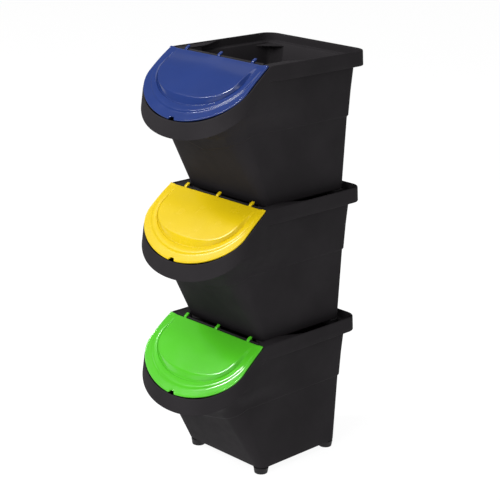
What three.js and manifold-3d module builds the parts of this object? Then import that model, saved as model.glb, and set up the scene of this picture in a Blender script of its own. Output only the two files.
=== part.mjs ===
// Stack of three identical sorting bins. Each bin is a moulded tub with an open top, a scoop-shaped
// mouth at the front, a sloping flap clipped over a hinge rod, and four round feet.
//
// Millimetres, +Z up, +X to the right, the mouths face -Y. The origin is the centre of the whole
// object's box, on the surface that the bottom bin stands on.
//
// Inside one bin, heights are measured from the rim (z = 0 at the rim, negative below it) and depths
// from the flap's top edge (y = 0), with the scoop in front of it (y < 0) and the tub behind (y > 0).

import * as THREE from 'three';
import { mergeVertices } from 'three/addons/utils/BufferGeometryUtils.js';
import Module from 'manifold-3d';

// ---- driving dimensions ----
const BIN_PITCH = 301;        // height from one bin to the next
const WALL = 2.5;             // moulded wall thickness
const GAP = 0.3;              // running gap between neighbours
const EDGE_GAP = 1.2;         // gap between the flap's underside and the mouth's edge

const RIM_HALF = 149.1;       // half the rim's width at its top
const RIM_BACK = 300.8;       // rim's back edge at its top
const RIM_CORNER = 30;        // rim corner radius in plan
const RIM_THICK = 3;          // thickness of the rim's upright
const RIM_ROUND = 2.2;        // rounding of the rim's outer top edge
const SKIRT = 33;             // how far the rim's outer skirt hangs down
const SKIRT_DRAFT = 1.8;      // the skirt's lower edge stands out this much further
const FLANGE_FADE = [0.5, 4]; // the flange fades out where it reaches out less than this
const LEDGE_DEPTH = 18;       // the ledge inside the rim lies this far below its top
// In front the rim's rings are spread over the band, at these shares of its height: four round its
// lower edge, from the wall out to the face, and two down its inner face.
const EDGE_SHARES = [0.98, 0.96, 0.94, 0.92];
const LINING_SHARES = [0.7, 0.8];

const BASE_DEPTH = 307.5;      // underside of the tub below the rim
const BASE_HALF = 119.3;      // half the width at the base
const BASE_FRONT = 31;        // front and back edges of the base
const BASE_BACK = 272;
const BASE_CORNER = 16;
const BASE_CHAMFER = 4;
const TOP_HALF = 131.8;       // the same wall, carried up to the rim
const TOP_BACK = 283.5;
const FRONT_LEAN = 0.6;       // forward lean of the front wall, per mm of height
const FRONT_CORNER = 44;      // front corner radius where the wall meets the scoop
const BACK_CORNER = 15;

const STEP_DEPTH = 143;       // a small moulded step runs round the back and sides at this depth
const STEP_IN = 2.8;
const STEP_RISE = 3;          // height of the slope that makes the step
const STEP_FRONT_DROP = 27;   // in front the step runs this far below the scoop

const SCOOP_HALF = 153;       // the scoop's half-round band in plan, at its top edge
const SCOOP_DRAFT = 4;        // the band's lower edge stands out this much further
const SCOOP_FULLNESS = 0.94;  // below 1 the half ellipse is fuller, above 1 it is more pointed
const CRISP_SHARES = [0.02, 0.35]; // the band's lower edge sharpens over this share of the front
const UNDER_PULL = 0.45;      // how flat the band's underside starts: a share of the way to the wall
const SCOOP_SIDE = -45;       // where its sides turn into the half ellipse
const SCOOP_FRONT = -132;
const BAND_HEIGHT = 36;       // height of the band below the flap
const FLARE_BACK = 130;       // the side walls start to flare out to the scoop here
const SMOOTH_DEPTH = 88;      // the flare is full above this depth
const WALL_TOP_FRONT = 165;   // the leaning front wall turns into the scoop's underside here
const WALL_TOP_SIDE = 140;
const INNER_LIFT = 0.5;       // the inside turns this share of a wall's thickness higher

const FLAP_SLOPE = THREE.MathUtils.degToRad(41);
const FLAP_THICK = 2.4;
const FLAP_LENGTH = 173.5;      // slant length to the front edge
const FLAP_ARCH = 5;          // how far the flap bows out above a straight line down its slope
const ARCH_SHIFT = 0.8;       // below 1 the arch is highest nearer to the hinge
const EAR_START = 131;        // the ears at both ends of the top edge
const EAR_BACK = 1;
const NOTCH_HALF = 9.5;       // finger notch in the front edge
const NOTCH_DEPTH = 6.8;
const NOTCH_FLANK = 3;        // the notch narrows by this much on each side
const EDGE_OVERLAP = -4;      // the raised steps start this far in front of the top edge
const RELIEF_FADE = 60;       // the raised steps fade out towards the hinge over this slant distance

// The flap's outline and its two raised steps: half width at the hinge, half width, slant distance
// where the curved front starts, slant distance of the front, fullness of the curve, and height.
const OUTLINE = { hinge: 146.5, half: 149, straight: 74, length: FLAP_LENGTH, fullness: 1.06, rise: 0 };
const RAISED = [
  { hinge: 140, half: 140, straight: 50, length: 152, fullness: 1.04, rise: 1.3 },
  { hinge: 122, half: 120, straight: 50, length: 123, fullness: 0.92, rise: 6.8 },
];

const ROD_Y = 6.5;            // hinge rod axis behind and below the flap's top edge
const ROD_Z = -1;
const ROD_RADIUS = 3.2;
const ROD_HALF = 128;
const HOOK_INNER = ROD_RADIUS + GAP;
const HOOK_OUTER = 6.2;
const HOOK_WIDTH = 7;
const HOOK_ANGLES = [55, 285]; // the claw runs round the rod between these angles, from straight back
const HOOK_FIN = [[66, 10.4], [58, 9.6]]; // the fin's tip: angle and radius of its two corners
const HOOK_SHOULDER = 118;    // the fin meets the claw's outside here
const HOOK_X = [-100, 0, 100];

const DECK_DEPTH = 2;         // top of the front decks below the rim
const DECK_FRONT = 2.5;       // front edge of the decks
const DECK_INNER = 119.5;     // inner edge of the decks
const DECK_STRAIGHT = 64;     // the decks' inner edge curves out to the rim after this
const DECK_BACK = 160;
const DECK_EASE = [45, 35];   // how far the curve runs on straight at its rear and front end
const SADDLE_REACH = 8;       // the saddle reaches this far below and behind the rod's axis

const SHELF_MARGIN = 2.5;     // the front shelves reach this far beyond a foot
const SHELF_PAST = 13.3;      // and this far outwards beyond the cheek that carries them
const SHELF_REACH = 18;       // the rear gussets reach this far beyond the middle of a foot

const FOOT_RADIUS = 17;
const FOOT_HEIGHT = 14.7;
const FOOT_X = BASE_HALF - FOOT_RADIUS;
const FOOT_FRONT = BASE_FRONT + BASE_CORNER;
const FOOT_BACK = BASE_BACK - BASE_CORNER;
const FOOT_TAPER = 2;         // the foot is this much narrower at its sole
const STEM_RADIUS = 5;
const STEM_LENGTH = 9;
const STEM_CHAMFER = 1;
const STEM_ROOM = 1;          // the hole is this much deeper than the stem
const BOSS_RADIUS = 8.5;
const BOSS_HEIGHT = 12;

const FOOT_BOTTOM = -BASE_DEPTH - GAP - FOOT_HEIGHT;      // below the bin's own rim
const SHELF_TOP = FOOT_BOTTOM + BIN_PITCH - GAP;          // where the next bin's feet stand
const BIN_Y = (SCOOP_DRAFT - SCOOP_FRONT - RIM_BACK - SKIRT_DRAFT) / 2; // moves the box's centre to y = 0
const BOTTOM_RIM = -FOOT_BOTTOM;                          // rim height of the bottom bin

const SIDE_STEPS = 5;
const CORNER_STEPS = 3;
const FRONT_STEPS = 8;
const ROUND_SIDES = 14;
const ARCH_STEPS = 8;
const TURN_STEPS = 20;        // steps of the flap's curved front
const SIDE_CURVE_STEPS = 4;   // steps of the curves beside it
const DECK_STEPS = 5;
const HOOK_STEPS = 9;
const CUT_PAST = 1;           // cutting shapes run on this far past the faces they cut

// ---- colours ----
const COLOURS = { blue: 0x30448c, yellow: 0xf0d22d, green: 0x5ad73c, black: 0x28282a };
const BINS = [
  { name: 'bottom', flap: COLOURS.green },
  { name: 'middle', flap: COLOURS.yellow },
  { name: 'top', flap: COLOURS.blue },
];

const { lerp, smoothstep } = THREE.MathUtils;

// ---- meshes and solids ----
const wasm = await Module();
wasm.setup();

/** A manifold solid from a closed three.js geometry. */
function solid(geometry) {
  const bare = new THREE.BufferGeometry();
  bare.setAttribute('position', geometry.getAttribute('position').clone());
  if (geometry.index) bare.setIndex(geometry.index.clone());
  const merged = mergeVertices(bare, 1e-4);
  return new wasm.Manifold(new wasm.Mesh({
    numProp: 3,
    vertProperties: new Float32Array(merged.getAttribute('position').array),
    triVerts: new Uint32Array(merged.index.array),
  }));
}

/** The three.js geometry of a manifold solid. */
function geometryOf(body) {
  const mesh = body.getMesh();
  const geometry = new THREE.BufferGeometry();
  geometry.setAttribute('position', new THREE.BufferAttribute(mesh.vertProperties.slice(), 3));
  geometry.setIndex(new THREE.BufferAttribute(mesh.triVerts.slice(), 1));
  geometry.computeVertexNormals();
  return geometry;
}

/** A box given by its lowest and highest corners. */
function box(low, high) {
  const size = high.map((value, axis) => value - low[axis]);
  const geometry = new THREE.BoxGeometry(...size);
  geometry.translate(...low.map((value, axis) => value + size[axis] / 2));
  return solid(geometry);
}

/** A flat plate: an outline in plan, with its underside at `low` and its top at `high`. */
function plate(points, low, high) {
  const geometry = new THREE.ExtrudeGeometry(new THREE.Shape(points), {
    depth: high - low, bevelEnabled: false,
  });
  geometry.translate(0, 0, low);
  return solid(geometry);
}

/** A cylinder along X. */
function rodAlongX(radius, fromX, toX, y, z, sides = ROUND_SIDES) {
  const geometry = new THREE.CylinderGeometry(radius, radius, toX - fromX, sides);
  geometry.rotateZ(Math.PI / 2);
  geometry.translate((fromX + toX) / 2, y, z);
  return geometry;
}

/** A cylinder standing on `low`. */
function post(radius, x, y, low, high, sides = ROUND_SIDES) {
  const geometry = new THREE.CylinderGeometry(radius, radius, high - low, sides);
  geometry.rotateX(Math.PI / 2);
  geometry.translate(x, y, (low + high) / 2);
  return solid(geometry);
}

/** Turns a shape drawn as a side view (x to the back, y up) and extruded, so that it runs along X. */
const AXES_FROM_SIDE_VIEW = new THREE.Matrix4().makeBasis(
  new THREE.Vector3(0, 1, 0),
  new THREE.Vector3(0, 0, 1),
  new THREE.Vector3(1, 0, 0),
);

// ---- the tub's plan outlines ----
// Every outline of the tub has the same stations, so that rings at different heights match:
// half of the back edge, the back corner, the side, then the front to its middle.
function halfStations() {
  const list = [{ part: 'back', t: 0 }];
  for (let i = 0; i <= CORNER_STEPS; i++) list.push({ part: 'corner', t: i / CORNER_STEPS });
  for (let i = 1; i <= SIDE_STEPS; i++) list.push({ part: 'side', t: i / SIDE_STEPS });
  for (let i = 1; i <= FRONT_STEPS; i++) list.push({ part: 'front', t: i / FRONT_STEPS });
  return list;
}

/** How far towards the middle of the front a station is: 0 on the side, 1 on the centre line. */
function frontShare(station) {
  return station.part === 'front' ? station.t : 0;
}

/** 1 where the band's lower edge is sharp, 0 where it has run out into the side wall. */
function crispness(station) {
  return smoothstep(frontShare(station), ...CRISP_SHARES);
}

/** A point of the plain tapered wall at height z, moved inwards by `inset`. */
function wallPoint(station, z, inset) {
  const up = (z + BASE_DEPTH) / BASE_DEPTH;
  const half = lerp(BASE_HALF, TOP_HALF, up) - inset;
  const back = lerp(BASE_BACK, TOP_BACK, up) - inset;
  const front = BASE_FRONT - FRONT_LEAN * (z + BASE_DEPTH) + inset;
  const backRadius = BACK_CORNER - inset;
  const lobeShare = (z + BASE_DEPTH) / (BASE_DEPTH - WALL_TOP_SIDE);
  const frontRadius = lerp(BASE_CORNER, FRONT_CORNER, Math.min(lobeShare, 1)) - inset;
  const angle = station.t * Math.PI / 2;
  if (station.part === 'back') return [station.t * (half - backRadius), back];
  if (station.part === 'corner') {
    return [
      half - backRadius + backRadius * Math.sin(angle),
      back - backRadius + backRadius * Math.cos(angle),
    ];
  }
  if (station.part === 'side') return [half, lerp(back - backRadius, front + frontRadius, station.t)];
  const x = half * Math.cos(angle);
  const intoCorner = Math.max(0, x - (half - frontRadius));
  return [x, front + frontRadius - Math.sqrt(frontRadius ** 2 - intoCorner ** 2)];
}

/** How much wider than the plain wall the flared cheek is at depth y. */
function flare(y) {
  return (SCOOP_HALF - TOP_HALF) * smoothstep(FLARE_BACK - y, 0, FLARE_BACK - SCOOP_SIDE);
}

/** A point of the flared outline that carries the flap, moved inwards by `inset`. */
function scoopPoint(station, z, inset, draft = 0) {
  const [wallX, wallY] = wallPoint(station, z, inset);
  if (station.part === 'side') {
    const startY = wallPoint({ part: 'side', t: 0 }, z, inset)[1];
    const y = lerp(startY, SCOOP_SIDE, station.t);
    return [wallX + flare(y), y];
  }
  if (station.part !== 'front') return [wallX, wallY];
  const angle = station.t * Math.PI / 2;
  const endX = wallPoint({ part: 'side', t: 1 }, z, inset)[0] + flare(SCOOP_SIDE) + draft;
  const depth = SCOOP_SIDE - SCOOP_FRONT - inset + draft;
  return [endX * Math.cos(angle) ** SCOOP_FULLNESS, SCOOP_SIDE - depth * Math.sin(angle) ** SCOOP_FULLNESS];
}

/** How far the flap bows out at a slant distance from its top edge. */
function arch(slant) {
  const along = THREE.MathUtils.clamp(slant / FLAP_LENGTH, 0, 1);
  return FLAP_ARCH * Math.sin(Math.PI * along ** ARCH_SHIFT);
}

/** Height of the mouth's edge under the flap: level with the rim behind, sloping in front. */
function edgeHeight(y) {
  const bow = arch(-y / Math.cos(FLAP_SLOPE)) - FLAP_THICK - EDGE_GAP;
  return Math.min(0, y * Math.tan(FLAP_SLOPE) + bow / Math.cos(FLAP_SLOPE));
}

/** Height of the mouth's edge at a station, the same on the band's outside and inside. */
function edgeAt(station) {
  return edgeHeight(scoopPoint(station, 0, RIM_THICK)[1]);
}

/** A station's point on the curve between the wall's top and the band's lower edge. */
function scoopCurve(station, t, inset) {
  const share = frontShare(station);
  const crisp = crispness(station);
  const thick = inset * crisp;
  const lowZ = -lerp(WALL_TOP_SIDE, WALL_TOP_FRONT, share) + inset * INNER_LIFT;
  const bandZ = lerp(-SMOOTH_DEPTH, edgeAt(station) - BAND_HEIGHT, crisp) + thick;
  const rise = (bandZ - lowZ) / 2;
  const start = new THREE.Vector3(...wallPoint(station, lowZ, inset), lowZ);
  const lift = new THREE.Vector3(...wallPoint(station, lowZ + rise, inset), lowZ + rise);
  const draft = SCOOP_DRAFT * crisp;
  const end = new THREE.Vector3(...scoopPoint(station, bandZ, inset, draft), bandZ);
  const below = new THREE.Vector3(...scoopPoint(station, bandZ - rise, inset, draft), bandZ - rise);
  const inward = end.clone().lerp(start, UNDER_PULL).setZ(bandZ);
  const control = below.lerp(inward, crisp);
  return new THREE.CubicBezierCurve3(start, lift, control, end).getPoint(t);
}

/** The rim's outline, moved inwards by `inset`; in front it is the band itself. */
function rimPoint(station, inset, draft = 0) {
  const [x, y] = scoopPoint(station, 0, 0);
  const radius = RIM_CORNER - inset;
  const half = RIM_HALF - inset;
  const angle = station.t * Math.PI / 2;
  if (station.part === 'back') return [station.t * (half - radius), RIM_BACK - inset];
  if (station.part === 'corner') {
    return [half - radius + radius * Math.sin(angle), RIM_BACK - RIM_CORNER + radius * Math.cos(angle)];
  }
  if (station.part === 'side') {
    const rimY = lerp(RIM_BACK - RIM_CORNER, SCOOP_SIDE, station.t);
    return [Math.max(half, x - inset), rimY];
  }
  return scoopPoint(station, 0, inset, draft);
}

/** 1 where the rim stands out from the wall as a flange, 0 where the wall has flared out to meet it. */
function flangeShare(station) {
  const reach = rimPoint(station, 0)[0] - scoopPoint(station, 0, 0)[0];
  if (station.part === 'front') return 0;
  if (station.part !== 'side') return 1;
  return smoothstep(reach, ...FLANGE_FADE);
}

// ---- the tub's rings, from the underside, up the outside, over the rim and down the inside ----
const CURVE_STEPS = [0, 0.3, 0.6, 0.85, 1];

/** Height of the moulded step's upper edge: level round the back and sides, lower in front. */
function stepZ(station) {
  return -lerp(STEP_DEPTH, WALL_TOP_FRONT + STEP_FRONT_DROP, frontShare(station));
}

function outerRings() {
  const baseZ = -BASE_DEPTH;
  const rings = [
    (s) => [...wallPoint(s, baseZ, BASE_CHAMFER), baseZ],
    (s) => [...wallPoint(s, baseZ + BASE_CHAMFER, 0), baseZ + BASE_CHAMFER],
    (s) => [...wallPoint(s, stepZ(s) - STEP_RISE, STEP_IN), stepZ(s) - STEP_RISE],
    (s) => [...wallPoint(s, stepZ(s), 0), stepZ(s)],
  ];
  for (const t of CURVE_STEPS) rings.push((s) => scoopCurve(s, t, 0).toArray());
  return rings;
}

// In front the rim is the band itself, which leans out by SCOOP_DRAFT towards its lower edge.
function rimRings() {
  const mixed = (s, plain, flange) => lerp(plain, flange, flangeShare(s));
  const at = (s, point, drop) => [...point, edgeAt(s) - drop];
  const draftAt = (s, share) => SCOOP_DRAFT * share * crispness(s);
  const skirt = (s, inset, share) => rimPoint(s, inset - SKIRT_DRAFT * flangeShare(s), draftAt(s, share));
  const under = (s, share) => {
    const wall = scoopPoint(s, 0, 0, draftAt(s, share));
    const inside = skirt(s, RIM_THICK, share);
    return [mixed(s, wall[0], inside[0]), mixed(s, wall[1], inside[1])];
  };
  const ledge = LEDGE_DEPTH + WALL;
  const [root, inner, lip, face] = EDGE_SHARES;
  const [lining, ledgeInside] = LINING_SHARES;
  return [
    (s) => at(s, scoopPoint(s, 0, 0, draftAt(s, root)), mixed(s, BAND_HEIGHT * root, ledge)),
    (s) => at(s, under(s, inner), mixed(s, BAND_HEIGHT * inner, ledge)),
    (s) => at(s, under(s, lip), mixed(s, BAND_HEIGHT * lip, SKIRT)),
    (s) => at(s, skirt(s, 0, face), mixed(s, BAND_HEIGHT * face, SKIRT)),
    (s) => at(s, rimPoint(s, 0), RIM_ROUND),
    (s) => at(s, rimPoint(s, RIM_ROUND), 0),
    (s) => at(s, rimPoint(s, RIM_THICK), 0),
    (s) => at(s, rimPoint(s, RIM_THICK), mixed(s, BAND_HEIGHT * lining, LEDGE_DEPTH)),
    (s) => at(
      s,
      scoopPoint(s, 0, mixed(s, RIM_THICK, WALL)),
      mixed(s, BAND_HEIGHT * ledgeInside, LEDGE_DEPTH),
    ),
  ];
}

function innerRings() {
  const rings = [...CURVE_STEPS].reverse().map((t) => (s) => scoopCurve(s, t, WALL).toArray());
  const floorZ = -BASE_DEPTH + WALL;
  rings.push((s) => [...wallPoint(s, stepZ(s) - STEP_RISE, WALL + STEP_IN), stepZ(s) - STEP_RISE]);
  rings.push((s) => [...wallPoint(s, floorZ + STEP_RISE, WALL), floorZ + STEP_RISE]);
  rings.push((s) => [...wallPoint(s, floorZ, WALL + BASE_CHAMFER), floorZ]);
  return rings;
}

/** One closed skin through rings that all have the same stations, with a fan at both ends. */
function skin(rings) {
  const right = halfStations();
  const left = right.slice(1, -1).reverse();
  const columns = right.length + left.length;
  const positions = [];
  for (const ring of rings) {
    for (const station of right) positions.push(...ring(station));
    for (const station of left) {
      const [x, y, z] = ring(station);
      positions.push(-x, y, z);
    }
  }
  const index = [];
  for (let row = 0; row < rings.length - 1; row++) {
    for (let column = 0; column < columns; column++) {
      const next = (column + 1) % columns;
      const a = row * columns + column;
      const b = row * columns + next;
      index.push(a, a + columns, b, b, a + columns, b + columns);
    }
  }
  const ends = [[0, true], [(rings.length - 1) * columns, false]];
  for (const [start, isFirst] of ends) {
    const centre = positions.length / 3;
    const middleY = (BASE_FRONT + BASE_BACK) / 2;
    positions.push(0, middleY, positions[start * 3 + 2]);
    for (let column = 0; column < columns; column++) {
      const a = start + column;
      const b = start + (column + 1) % columns;
      if (isFirst) index.push(centre, a, b);
      else index.push(centre, b, a);
    }
  }
  const geometry = new THREE.BufferGeometry();
  geometry.setAttribute('position', new THREE.Float32BufferAttribute(positions, 3));
  geometry.setIndex(index);
  return geometry;
}

// ---- parts moulded on the tub ----
/** A box given by its corners on the right side, or its mirror image on the left. */
function sidedBox(side, low, high) {
  const x = [side * low[0], side * high[0]].sort((a, b) => a - b);
  return box([x[0], low[1], low[2]], [x[1], high[1], high[2]]);
}

/** A plate whose outline is given on the right side, or its mirror image on the left. */
function sidedPlate(side, points, low, high) {
  const mirrored = points.map(([x, y]) => new THREE.Vector2(side * x, y));
  return plate(side < 0 ? mirrored.reverse() : mirrored, low, high);
}

/** The deck beside the flap's end, level with the rim, and the cheek and saddle that hold the rod. */
function deck(side) {
  const outer = RIM_HALF - RIM_THICK / 2;
  const shape = new THREE.Shape();
  shape.moveTo(DECK_INNER, DECK_FRONT);
  shape.lineTo(outer, DECK_FRONT);
  shape.lineTo(outer, DECK_BACK);
  shape.bezierCurveTo(
    outer - 1, DECK_BACK - DECK_EASE[0],
    DECK_INNER, DECK_STRAIGHT + DECK_EASE[1],
    DECK_INNER, DECK_STRAIGHT,
  );
  const points = shape.getPoints(DECK_STEPS).map((p) => [p.x, p.y]);
  const top = sidedPlate(side, points, -DECK_DEPTH - WALL, -DECK_DEPTH);
  const under = -DECK_DEPTH - WALL / 2;
  const cheek = sidedBox(side,
    [DECK_INNER, DECK_FRONT, SHELF_TOP - WALL],
    [DECK_INNER + WALL, DECK_STRAIGHT, under]);
  const saddle = sidedBox(side,
    [DECK_INNER, DECK_FRONT, ROD_Z - SADDLE_REACH],
    [ROD_HALF + WALL, ROD_Y + SADDLE_REACH, under]);
  return top.add(cheek).add(saddle);
}

/** The shelf that one front foot of the bin above stands on. */
function frontShelf(side) {
  const reach = FOOT_RADIUS + SHELF_MARGIN;
  return sidedBox(side,
    [FOOT_X - reach, FOOT_FRONT - reach, SHELF_TOP - WALL],
    [DECK_INNER + SHELF_PAST, FOOT_FRONT + reach, SHELF_TOP]);
}

/** The corner gusset that one rear foot of the bin above stands on. */
function rearShelf(side) {
  const wallX = wallPoint({ part: 'side', t: 0 }, SHELF_TOP, WALL / 2)[0];
  const back = wallPoint({ part: 'back', t: 0 }, SHELF_TOP, WALL / 2)[1];
  const points = [
    [wallX, FOOT_BACK - SHELF_REACH], [wallX, back - BACK_CORNER / 2],
    [wallX - BACK_CORNER / 2, back], [FOOT_X - SHELF_REACH, back],
  ];
  return sidedPlate(side, points, SHELF_TOP - WALL, SHELF_TOP);
}

const footPlaces = [
  { name: 'front_left', x: -FOOT_X, y: FOOT_FRONT },
  { name: 'front_right', x: FOOT_X, y: FOOT_FRONT },
  { name: 'rear_left', x: -FOOT_X, y: FOOT_BACK },
  { name: 'rear_right', x: FOOT_X, y: FOOT_BACK },
];

/** The whole tub as one solid, with a blind hole in each corner of the base for a foot's stem. */
function containerGeometry() {
  let tub = solid(skin([...outerRings(), ...rimRings(), ...innerRings()]));
  for (const side of [-1, 1]) {
    tub = tub.add(deck(side)).add(frontShelf(side)).add(rearShelf(side));
    const ends = [side * (DECK_INNER - CUT_PAST), side * (ROD_HALF + GAP)].sort((a, b) => a - b);
    tub = tub.subtract(solid(rodAlongX(ROD_RADIUS + GAP, ends[0], ends[1], ROD_Y, ROD_Z)));
    const slot = ROD_RADIUS + GAP;
    tub = tub.subtract(box([ends[0], ROD_Y - slot, ROD_Z], [ends[1], ROD_Y + slot, CUT_PAST]));
  }
  for (const place of footPlaces) {
    const low = -BASE_DEPTH;
    const hole = [low - CUT_PAST, low + STEM_LENGTH + STEM_ROOM];
    tub = tub.add(post(BOSS_RADIUS, place.x, place.y, low + WALL / 2, low + BOSS_HEIGHT));
    tub = tub.subtract(post(STEM_RADIUS + GAP, place.x, place.y, ...hole));
  }
  return geometryOf(tub);
}

// ---- flap ----
/** A D-shaped outline in the flap's own plane: x across, y = minus the slant distance. */
function flapOutline({ hinge, half, straight, length, fullness }) {
  const isEdge = hinge === OUTLINE.hinge;
  const startY = isEdge ? 0 : EDGE_OVERLAP;
  const shape = new THREE.Shape();
  shape.moveTo(-hinge, startY);
  shape.quadraticCurveTo(-half, -straight / 3, -half, -straight);
  for (let i = 1; i < TURN_STEPS; i++) {
    const angle = Math.PI * i / TURN_STEPS;
    const across = -Math.sign(Math.cos(angle)) * half * Math.abs(Math.cos(angle)) ** fullness;
    const down = straight + (length - straight) * Math.sin(angle) ** fullness;
    if (isEdge && i === TURN_STEPS / 2) addNotch(shape);
    else shape.lineTo(across, -down);
  }
  shape.lineTo(half, -straight);
  shape.quadraticCurveTo(half, -straight / 3, hinge, startY);
  if (isEdge) addEars(shape);
  return shape.getPoints(SIDE_CURVE_STEPS);
}

/** The finger notch in the middle of the front edge. */
function addNotch(shape) {
  const edge = -FLAP_LENGTH + GAP;
  const end = NOTCH_HALF - NOTCH_FLANK;
  shape.lineTo(-NOTCH_HALF, edge);
  shape.lineTo(-end, edge + NOTCH_DEPTH);
  shape.lineTo(end, edge + NOTCH_DEPTH);
  shape.lineTo(NOTCH_HALF, edge);
}

/** The small ears at both ends of the top edge. */
function addEars(shape) {
  shape.lineTo(OUTLINE.hinge, EAR_BACK);
  shape.lineTo(EAR_START, EAR_BACK);
  shape.lineTo(EAR_START, 0);
  shape.lineTo(-EAR_START, 0);
  shape.lineTo(-EAR_START, EAR_BACK);
  shape.lineTo(-OUTLINE.hinge, EAR_BACK);
}

/** One clip hook: a claw round the rod with a fin that leans back over it. */
function hook(x) {
  const [start, end] = HOOK_ANGLES.map(THREE.MathUtils.degToRad);
  const shape = new THREE.Shape();
  shape.absarc(0, 0, HOOK_OUTER, THREE.MathUtils.degToRad(HOOK_SHOULDER), end, false);
  shape.absarc(0, 0, HOOK_INNER, end, start, true);
  for (const [degrees, radius] of [...HOOK_FIN].reverse()) {
    const angle = THREE.MathUtils.degToRad(degrees);
    shape.lineTo(radius * Math.cos(angle), radius * Math.sin(angle));
  }
  const geometry = new THREE.ExtrudeGeometry(shape, {
    depth: HOOK_WIDTH, bevelEnabled: false, curveSegments: HOOK_STEPS,
  });
  geometry.translate(0, 0, -HOOK_WIDTH / 2);
  geometry.applyMatrix4(AXES_FROM_SIDE_VIEW);
  geometry.translate(x, ROD_Y, ROD_Z);
  return solid(geometry);
}

/** An arched sheet as wide as the flap, from the flap's underside up to `rise` above its outside. */
function archedSheet(rise) {
  const ends = [-EAR_BACK - CUT_PAST, FLAP_LENGTH + CUT_PAST];
  const slants = [ends[0]];
  for (let i = 0; i <= ARCH_STEPS; i++) slants.push(FLAP_LENGTH * i / ARCH_STEPS);
  slants.push(ends[1]);
  const high = (slant) => arch(slant) + rise * smoothstep(slant, 0, RELIEF_FADE);
  const upper = slants.map((slant) => new THREE.Vector2(-slant, high(slant)));
  const lower = slants.map((slant) => new THREE.Vector2(-slant, arch(slant) - FLAP_THICK)).reverse();
  const width = 2 * (OUTLINE.half + CUT_PAST);
  const geometry = new THREE.ExtrudeGeometry(new THREE.Shape([...upper, ...lower]), {
    depth: width, bevelEnabled: false,
  });
  geometry.translate(0, 0, -width / 2);
  geometry.applyMatrix4(AXES_FROM_SIDE_VIEW);
  return solid(geometry);
}

/** The flap in the bin's own axes: the arched, stepped plate tilted down to the front, with its hooks. */
function flapGeometry() {
  const layer = (outline) => {
    const reach = FLAP_ARCH + FLAP_THICK + outline.rise + CUT_PAST;
    return plate(flapOutline(outline), -reach, reach).intersect(archedSheet(outline.rise));
  };
  const leaf = RAISED.reduce((body, outline) => body.add(layer(outline)), layer(OUTLINE));
  const tilted = leaf.rotate([THREE.MathUtils.radToDeg(FLAP_SLOPE), 0, 0]);
  return geometryOf(HOOK_X.reduce((body, x) => body.add(hook(x)), tilted));
}

// ---- foot ----
/** A round foot with a chamfered lower edge and the stem that is pushed into the base. */
function footGeometry() {
  const sole = FOOT_RADIUS - FOOT_TAPER;
  const stemTop = FOOT_HEIGHT + STEM_LENGTH;
  const profile = [
    [0, 0], [sole - FOOT_TAPER, 0], [sole, FOOT_TAPER], [FOOT_RADIUS, FOOT_HEIGHT],
    [STEM_RADIUS, FOOT_HEIGHT], [STEM_RADIUS, stemTop - STEM_CHAMFER],
    [STEM_RADIUS - STEM_CHAMFER, stemTop], [0, stemTop],
  ].map(([radius, z]) => new THREE.Vector2(radius, z));
  const geometry = new THREE.LatheGeometry(profile, ROUND_SIDES);
  geometry.rotateX(Math.PI / 2);
  return geometry;
}

// ---- assembly ----
const containerShape = containerGeometry();
const flapShape = flapGeometry();
const rodShape = rodAlongX(ROD_RADIUS, -ROD_HALF, ROD_HALF, ROD_Y, ROD_Z);
const footShape = footGeometry();

function part(name, geometry, colour, roughness) {
  const material = new THREE.MeshStandardMaterial({ color: colour, roughness, metalness: 0 });
  const mesh = new THREE.Mesh(geometry, material);
  mesh.name = name;
  return mesh;
}

function bin({ name, flap }, level) {
  const group = new THREE.Group();
  group.position.set(0, BIN_Y, BOTTOM_RIM + level * BIN_PITCH);
  group.add(part(`${name}_container`, containerShape, COLOURS.black, 0.55));
  group.add(part(`${name}_flap`, flapShape, flap, 0.25));
  group.add(part(`${name}_hinge_rod`, rodShape, COLOURS.black, 0.4));
  for (const place of footPlaces) {
    const foot = part(`${name}_foot_${place.name}`, footShape, COLOURS.black, 0.6);
    foot.position.set(place.x, place.y, FOOT_BOTTOM);
    group.add(foot);
  }
  return group;
}

const station = new THREE.Group();
BINS.forEach((row, level) => station.add(bin(row, level)));

export default station;
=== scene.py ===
from math import cos, pi, radians, sin, tan

import bmesh
import bpy
import numpy as np
from mathutils import Matrix, Vector


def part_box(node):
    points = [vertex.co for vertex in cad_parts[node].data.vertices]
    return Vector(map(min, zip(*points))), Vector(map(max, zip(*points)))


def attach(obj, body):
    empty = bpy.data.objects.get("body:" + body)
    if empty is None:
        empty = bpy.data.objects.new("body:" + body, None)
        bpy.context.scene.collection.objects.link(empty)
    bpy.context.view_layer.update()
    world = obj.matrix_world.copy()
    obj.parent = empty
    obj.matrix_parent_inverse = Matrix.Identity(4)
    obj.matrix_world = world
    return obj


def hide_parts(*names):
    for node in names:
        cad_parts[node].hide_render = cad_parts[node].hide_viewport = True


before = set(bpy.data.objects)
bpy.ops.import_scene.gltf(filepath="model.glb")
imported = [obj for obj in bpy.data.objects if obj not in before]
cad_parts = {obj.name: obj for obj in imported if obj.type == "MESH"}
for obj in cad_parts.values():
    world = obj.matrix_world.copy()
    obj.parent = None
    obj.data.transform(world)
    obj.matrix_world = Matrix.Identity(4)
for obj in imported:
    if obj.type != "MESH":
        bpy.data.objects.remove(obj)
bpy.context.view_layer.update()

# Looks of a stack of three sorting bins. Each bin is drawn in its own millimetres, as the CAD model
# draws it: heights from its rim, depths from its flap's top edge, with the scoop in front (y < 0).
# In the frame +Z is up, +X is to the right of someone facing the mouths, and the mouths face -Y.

MM = 0.001
BINS = ("bottom", "middle", "top")
FLAP_SLOTS = {"bottom": "green_flap", "middle": "yellow_flap", "top": "blue_flap"}

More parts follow.
